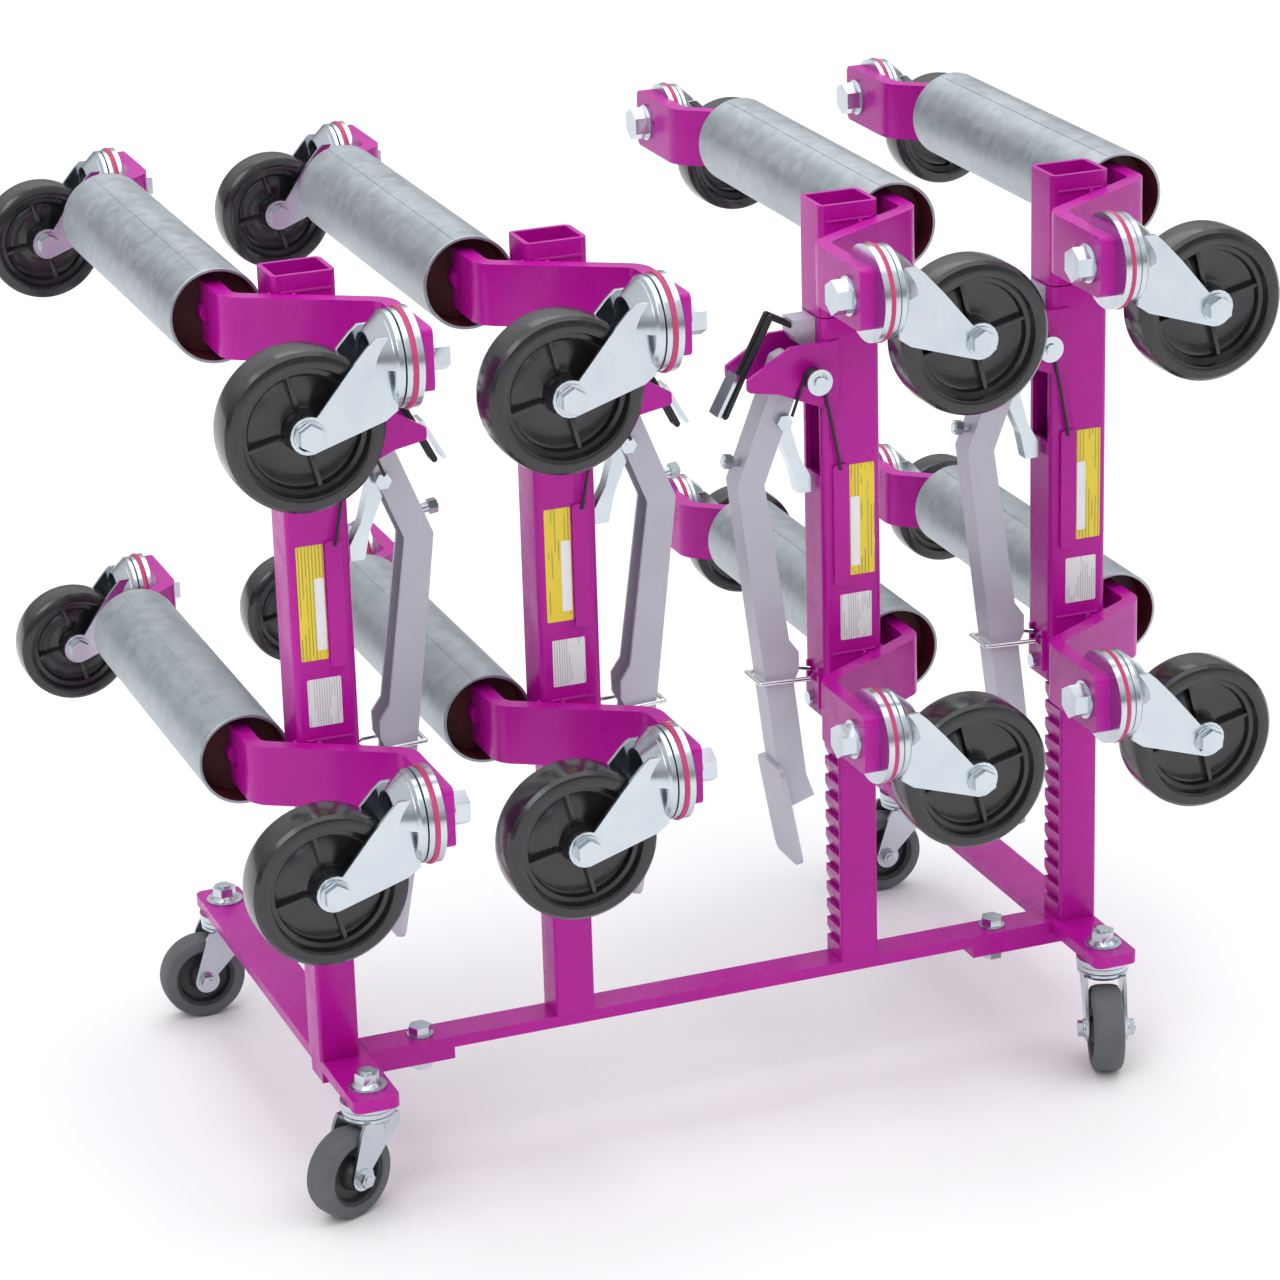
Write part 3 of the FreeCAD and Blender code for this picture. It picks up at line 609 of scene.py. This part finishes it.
# %% [markdown]
# ## Wheels
# A caster wheel is a turned shape: hub, thin dish, a stepped rim and a round-shouldered tread,
# with four ribs moulded from hub to rim. Spinning one profile about the axle makes the turned
# part, and each rib is a slim block with its edges rounded.


# %% Turn a closed profile about the axle
def turned(profile, centre, axis, steps=72):
    """Closed ring from (distance along the axis, radius) points."""
    shape = bmesh.new()
    axis = Vector(axis).normalized()
    side = axis.orthogonal().normalized()
    corners = [shape.verts.new(centre + axis * along + side * radius)
               for along, radius in profile]
    rim = [shape.edges.new((a, b)) for a, b in zip(corners, corners[1:] + corners[:1])]
    bmesh.ops.spin(shape, geom=corners + rim, cent=centre, axis=axis, angle=math.tau,
                   steps=steps, use_merge=True, use_duplicate=False)
    bmesh.ops.remove_doubles(shape, verts=shape.verts, dist=MERGE_DISTANCE)
    bmesh.ops.recalc_face_normals(shape, faces=shape.faces)
    return shape


def mirrored_profile(half):
    """A profile closed by its own mirror image across the wheel's middle plane."""
    return half + [(-along, radius) for along, radius in reversed(half)]


def wheel_shape(centre, axis, radius, half, tread, hub, bolt):
    inner = radius - tread
    profile = mirrored_profile([
        (half + 0.0012, bolt), (half + 0.0012, hub * 0.72), (half * 0.80, hub * 0.92),
        (half * 0.34, hub), (half * 0.28, hub + 0.003), (half * 0.28, inner - 0.0085),
        (half * 0.36, inner - 0.0060), (half * 0.62, inner - 0.0045),
        (half * 0.66, inner - 0.0010), (half * 0.94, inner + 0.0010),
        (half * 0.99, inner + 0.0030), (half * 0.99, radius - 0.0080),
        (half * 0.93, radius - 0.0035), (half * 0.78, radius - 0.0008), (half * 0.50, radius),
        (half * 0.02, radius)])
    return turned(profile, centre, axis)


# %% Add the ribs, then build every dolly wheel
RIBS = 4
RIB_THICK = 0.0036
NEAR_WHEEL = dict(radius=0.0635, half=0.019, tread=0.014, hub=0.017, bolt=0.0061)
FAR_WHEEL = dict(radius=0.050, half=0.016, tread=0.011, hub=0.015, bolt=0.0051)


def add_ribs(shape, centre, axis, inner, outer, depth):
    axis = Vector(axis).normalized()
    for k in range(RIBS):
        turn = Matrix.Rotation(math.tau * (k + 0.35) / RIBS, 4, axis)
        spoke = turn @ axis.orthogonal().normalized()
        across = axis.cross(spoke)
        turn = Matrix((spoke, across, axis)).transposed().to_4x4()
        size = Matrix.Diagonal((outer - inner, RIB_THICK, 2 * depth, 1))
        place = Matrix.Translation(centre + spoke * (inner + outer) / 2) @ turn @ size
        rib = bmesh.ops.create_cube(shape, size=1.0, matrix=place)
        edges = list({edge for v in rib["verts"] for edge in v.link_edges})
        bmesh.ops.bevel(shape, geom=edges, offset=0.0006, affect="EDGES", segments=2,
                        profile=0.5, material=-1)


def dolly_wheel(node, centre, body, size, stands_for):
    axis = (0, 1, 0)
    shape = wheel_shape(centre, axis, **size)
    add_ribs(shape, centre, axis, size["hub"] - 0.001, size["radius"] - size["tread"],
             size["half"] * 0.60)
    finish_piece(node + "_moulding", shape, [glossy], body, stands_for)


for d in DOLLIES:
    for caster in FREE_CASTERS:
        node = f"jack{d}_wheel_{caster}"
        low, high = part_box(node)
        size = NEAR_WHEEL if caster.endswith("near") else FAR_WHEEL
        dolly_wheel(node, (low + high) / 2, node, size, (node,))
    low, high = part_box(f"jack{d}_wheel_upper_far")
    below = (low + high) / 2 + Vector((0, 0, ARM_DROP))
    dolly_wheel(f"jack{d}_wheel_lower_far", below, f"jack{d}_tail_caster", FAR_WHEEL, ())
print("dolly wheels finished")

# %% [markdown]
# ## The rack's own wheels
# These have a separate grey tyre on a black hub. The axle of each one points a different way, so
# it is read from the joint that lets the wheel roll.

# %% Rack wheels
HUB_PROFILE = mirrored_profile([
    (0.0142, 0.0041), (0.0142, 0.0095), (0.0100, 0.0125), (0.0045, 0.0140), (0.0045, 0.0215),
    (0.0095, 0.0235), (0.0105, 0.0262), (0.0100, 0.0266), (0.0002, 0.0266)])
TYRE_PROFILE = mirrored_profile([
    (0.0002, 0.0263), (0.0118, 0.0263), (0.0130, 0.0275), (0.0130, 0.0325), (0.0112, 0.0358),
    (0.0080, 0.0371), (0.0035, 0.0375), (0.0002, 0.0375)])
for corner in CORNERS:
    node = "rack_wheel_" + corner
    roll = JOINTS[f"roll_rack_{corner}"]
    centre, axis = Vector(roll["pos_m"]), Vector(roll["axis"])
    hub = turned(HUB_PROFILE, centre, axis)
    finish_piece(node + "_hub", hub, [hub_black], node, (node,))
    tyre = turned(TYRE_PROFILE, centre, axis)
    finish_piece(node + "_tyre", tyre, [rubber], node)
print("rack wheels finished")

# %% [markdown]
# ## Rollers
# Each roller is a length of welded tube. Its ends are cut square with a small chamfer, its bore
# is primed maroon, and a primed bearing disc sits a little way in.


# %% Roller tubes and bearing discs
ROLLER_RADIUS = 0.0381
ROLLER_BORE = 0.0351
ROLLER_HALF_LENGTH = 0.165
DISC_SETBACK = 0.027


def roller_pieces(dolly, level):
    node = f"jack{dolly}_roller_{level}"
    centre = roller_centre(dolly, level)
    half = ROLLER_HALF_LENGTH
    axis = (0, 1, 0)
    profile = mirrored_profile([(half - 0.001, ROLLER_BORE), (half, 0.0357), (half, 0.0375),
                                (half - 0.0006, ROLLER_RADIUS), (0.0001, ROLLER_RADIUS)])
    profile += [(-0.0001, ROLLER_BORE), (0.0001, ROLLER_BORE)]
    tube = turned(profile, centre, axis, 96)
    for face in tube.faces:
        offset = face.calc_center_median() - centre
        if math.hypot(offset.x, offset.z) < ROLLER_BORE + 0.0005:
            face.material_index = 1
    lean = Matrix.Rotation(math.radians(-16), 4, "Y")
    size = Matrix.Diagonal((0.0022, 2 * half - 0.002, 0.0008, 1))
    seam = Matrix.Translation(centre + Vector((-0.0105, 0, 0.0366))) @ lean @ size
    strip = bmesh.ops.create_cube(tube, size=1.0, matrix=seam)
    edges = list({edge for v in strip["verts"] for edge in v.link_edges})
    bmesh.ops.bevel(tube, geom=edges, offset=0.0002, affect="EDGES", segments=1, profile=0.5,
                    material=-1)
    finish_piece(node + "_tube", tube, [galvanised, primer], node, (node,))
    for end, side in ((-1, "front"), (1, "back")):
        at = centre + Vector((0, end * (half - DISC_SETBACK), 0))
        disc = turned([(-0.004, 0.0102), (-0.004, 0.0345), (-0.003, 0.0350), (0.004, 0.0350),
                       (0.004, 0.0102)], at, axis)
        finish_piece(f"{node}_disc_{side}", disc, [primer], node, (), 0.0004)


for d in DOLLIES:
    for level in ("upper", "lower"):
        roller_pieces(d, level)
print("rollers finished")

# %% [markdown]
# ## Dust seals
# The pink-red seal is a thin ring squeezed between the two cups of a swivel. It stays with the
# arm, so it rides on the frame, and it stands a little proud of the cups.


# %% Seals on every dolly swivel
SEAL_THICK = 0.0042
NEAR_KING = (0.042, -0.146)
FAR_KING = (-0.0236, 0.452)


def dust_seal(name, face_point, axis, radius, depth, body):
    middle = face_point + Vector(axis) * depth
    shape = turned([(-SEAL_THICK / 2, radius - 0.006), (-SEAL_THICK / 2, radius - 0.0003),
                    (0, radius + 0.0005), (SEAL_THICK / 2, radius - 0.0003),
                    (SEAL_THICK / 2, radius - 0.006)], middle, axis)
    finish_piece(name, shape, [seal_pink], body)


for d in DOLLIES:
    for level, z in ARM_Z.items():
        away = (-pedal_side(d), 0, 0)
        body = f"jack{d}_{level}_frame"
        near, far = on_dolly(d, *NEAR_KING, z), on_dolly(d, *FAR_KING, z)
        dust_seal(f"jack{d}_seal_{level}_near", near, away, 0.0392, 0.0070, body)
        dust_seal(f"jack{d}_seal_{level}_far", far, away, 0.0332, 0.0060, body)
print("seals finished")

# %% [markdown]
# ## Weld beads
# A hand weld is a row of overlapping ripples. Small balls set a bead's pitch apart and
# shaded smooth read as exactly that, and the powder coat covers them.


# %% Beads where the arms and brackets meet the columns
def weld_bead(shape, start, end, radius=0.0026, pitch=0.0024):
    count = max(2, int((end - start).length / pitch))
    for k in range(count + 1):
        place = Matrix.Translation(start.lerp(end, k / count))
        bmesh.ops.create_icosphere(shape, subdivisions=1, radius=radius, matrix=place)


for d in DOLLIES:
    for level, z in ARM_Z.items():
        beads = bmesh.new()
        for u, y in ((-0.0262, -0.0150), (-0.0090, -0.0228)):
            weld_bead(beads, on_dolly(d, u, y, z - 0.022), on_dolly(d, u, y, z + 0.022))
        weld_bead(beads, on_dolly(d, -0.0180, -0.0222, z + 0.0245),
                  on_dolly(d, 0.0200, -0.0222, z + 0.0245), 0.0015, 0.0018)
        if level == "lower":
            for y in (-0.0225, 0.0225):
                weld_bead(beads, on_dolly(d, 0.0120, y, 0.502), on_dolly(d, 0.0120, y, 0.555),
                          0.0022)
        finish_piece(f"jack{d}_weld_{level}", beads, [powder], f"jack{d}_{level}_frame")
print("weld beads finished")

# %% [markdown]
# ## Stickers
# Each column carries a yellow strip with a blank number panel, and lower down a white square.
# They are thin plates with rounded corners that stand under half a millimetre off the paint,
# and the number panel stands slightly further out than the strip behind it.


# %% A sticker is a thin plate with round corners
def sticker(name, low, high, ink, body):
    shape = bmesh.new()
    middle = (low + high) / 2
    size = [abs(a - b) for a, b in zip(high, low)]
    place = Matrix.Translation(middle) @ Matrix.Diagonal((*size, 1))
    plate = bmesh.ops.create_cube(shape, size=1.0, matrix=place)
    corners = []
    for edge in {edge for v in plate["verts"] for edge in v.link_edges}:
        run = (edge.verts[0].co - edge.verts[1].co).normalized()
        if abs(run.y) > 0.9:
            corners.append(edge)
    bmesh.ops.bevel(shape, geom=corners, offset=0.0012, affect="EDGES", segments=4, profile=0.5,
                    material=-1)
    finish_piece(name, shape, [ink], body)


for d in DOLLIES:
    body = f"jack{d}_lower_frame"
    front = -TUBE_HALF_Y
    sticker(f"jack{d}_sticker_yellow", on_dolly(d, -0.0195, front - 0.0003, 0.352),
            on_dolly(d, 0.0030, front + 0.0002, 0.448), yellow_ink, body)
    sticker(f"jack{d}_sticker_number", on_dolly(d, -0.0060, front - 0.0005, 0.360),
            on_dolly(d, 0.0022, front, 0.420), plain_ink, body)
    sticker(f"jack{d}_sticker_white", on_dolly(d, -0.0160, front - 0.0003, 0.296),
            on_dolly(d, 0.0120, front + 0.0002, 0.336), white_ink, body)
print("stickers finished")

# %% [markdown]
# ## Floor and light
# A pale floor and a soft ceiling give the clean look of a catalogue picture. The sky is bright
# overhead and dim near the horizon, so that plated steel has something dark to reflect. One broad
# lamp from the upper left shapes the tubes, and a weaker one from the right opens the shadows.


# %% Floor, sky and lamps
floor_shape = bmesh.new()
bmesh.ops.create_grid(floor_shape, x_segments=1, y_segments=1, size=14.0)
floor_mesh = bpy.data.meshes.new("floor")
floor_shape.to_mesh(floor_mesh)
floor_shape.free()
floor = bpy.data.objects.new("floor", floor_mesh)
bpy.context.scene.collection.objects.link(floor)
pale = Finish("pale floor", Specular_IOR_Level=0.1)
grey_cloud = pale.noise(2.0)
pale.paint("Base Color", pale.blend(grey_cloud, (0.90, 0.90, 0.90, 1), (0.93, 0.93, 0.93, 1)))
pale.paint("Roughness", 0.8 + grey_cloud * 0.1)
floor_mesh.materials.append(pale.material)

world = bpy.data.worlds.new("studio")
world.use_nodes = True
sky = world.node_tree
direction = sky.nodes.new("ShaderNodeTexCoord")
height = sky.nodes.new("ShaderNodeSeparateXYZ")
shades = sky.nodes.new("ShaderNodeValToRGB")
bands = [(0.0, 0.30), (0.50, 0.26), (0.58, 0.34), (0.70, 0.78), (1.0, 1.0)]
while len(shades.color_ramp.elements) < len(bands):
    shades.color_ramp.elements.new(0.5)
for element, (position, grey) in zip(shades.color_ramp.elements, bands):
    element.position = position
    element.color = (grey * 0.97, grey * 0.98, grey, 1)
half_height = sky.nodes.new("ShaderNodeMath")
half_height.operation = "MULTIPLY_ADD"
half_height.inputs[1].default_value = 0.5
half_height.inputs[2].default_value = 0.5
sky.links.new(direction.outputs["Generated"], height.inputs[0])
sky.links.new(height.outputs["Z"], half_height.inputs[0])
sky.links.new(half_height.outputs[0], shades.inputs["Fac"])
sky.links.new(shades.outputs["Color"], sky.nodes["Background"].inputs["Color"])
sky.nodes["Background"].inputs["Strength"].default_value = 0.95
bpy.context.scene.world = world
bpy.context.scene.view_settings.view_transform = "Standard"


def soft_lamp(name, position, target, power, size):
    lamp = bpy.data.lights.new(name, "AREA")
    lamp.energy = power
    lamp.size = size
    light = bpy.data.objects.new(name, lamp)
    bpy.context.scene.collection.objects.link(light)
    direction = Vector(target) - Vector(position)
    turn = direction.to_track_quat("-Z", "Y").to_matrix().to_4x4()
    light.matrix_world = Matrix.Translation(position) @ turn


soft_lamp("key", (-2.2, -2.2, 3.0), (0, 0, 0.4), 26.0, 1.6)
soft_lamp("fill", (2.6, -1.8, 1.6), (0, 0, 0.4), 9.0, 2.0)
soft_lamp("top", (0.4, 1.6, 3.0), (0, 0, 0.4), 14.0, 2.0)

even = bpy.data.lights.new("even ceiling", "SUN")
even.energy = 1.1
even.angle = math.radians(70)
ceiling = bpy.data.objects.new("even ceiling", even)
bpy.context.scene.collection.objects.link(ceiling)
print("stage set")
